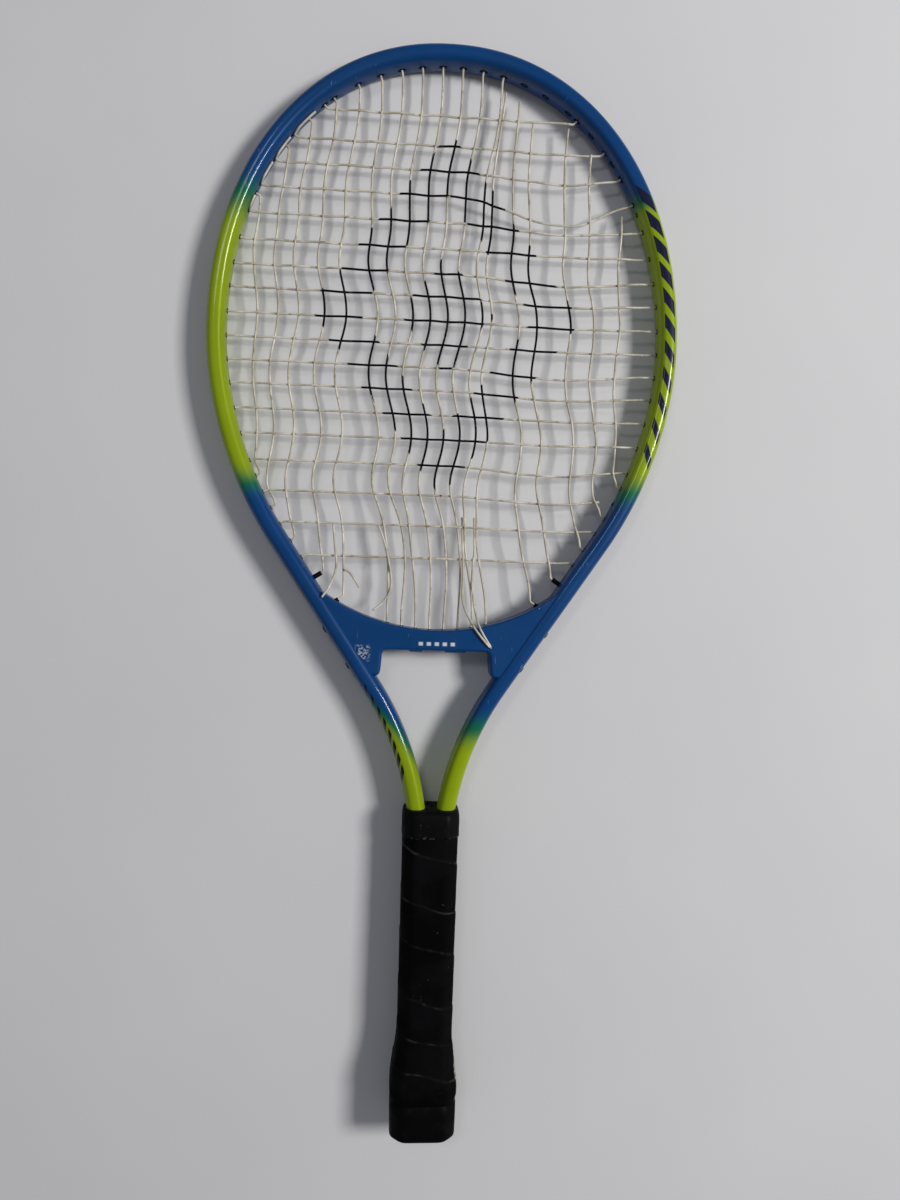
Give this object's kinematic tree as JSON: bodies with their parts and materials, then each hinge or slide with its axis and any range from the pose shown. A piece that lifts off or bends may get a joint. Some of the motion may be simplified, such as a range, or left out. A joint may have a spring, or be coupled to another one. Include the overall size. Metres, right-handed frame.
{
  "type": "tennis racket",
  "caption": "Full-size racket: bent hollow tube frame, throat bridge, grommet strips, worn string bed with broken strands, and a wrapped octagonal handle with butt cap.",
  "frame": {"origin": "below the middle of the racket's length and width, at the height of the lowest facet of the handle's flared end", "axes": "+Y along the racket from the butt to the tip of the head, +X across the head in the string plane, +Z out of the face that carries the graphics"},
  "size_m": [0.2932, 0.685, 0.0378],
  "materials": {
    "frame_paint": "glossy metallic blue fading to yellow-green",
    "bridge_enamel": "painted moulded plastic",
    "rivet_black": "black steel",
    "grommet_black": "black nylon",
    "string_nylon": "aged cream nylon",
    "pallet": "moulded foam",
    "cap_plastic": "black moulded plastic",
    "tack_steel": "plain steel",
    "wrap_rubber": "worn black synthetic grip",
    "tape_vinyl": "black vinyl tape"
  },
  "bodies": {
    "root": {"frame_tube": "frame_paint", "throat_bridge": "bridge_enamel", "bridge_rivet_upper_left": "rivet_black", "bridge_rivet_lower_left": "rivet_black", "bridge_rivet_upper_right": "rivet_black", "bridge_rivet_lower_right": "rivet_black", "grommet_strip_head": "grommet_black", "grommet_strip_left": "grommet_black", "grommet_strip_right": "grommet_black", "throat_grommet_left": "grommet_black", "throat_grommet_right": "grommet_black", "bridge_grommet_strip": "grommet_black", "main_string": "string_nylon", "main_strand_broken_inner": "string_nylon", "main_strand_broken_outer": "string_nylon", "main_strand_broken_edge": "string_nylon", "cross_string_upper": "string_nylon", "cross_string_lower": "string_nylon", "handle_shell_front": "pallet", "handle_shell_back": "pallet", "butt_cap": "cap_plastic", "cap_tack_left": "tack_steel", "cap_tack_right": "tack_steel", "grip_wrap": "wrap_rubber", "finishing_tape": "tape_vinyl"}
  },
  "joints": []
}
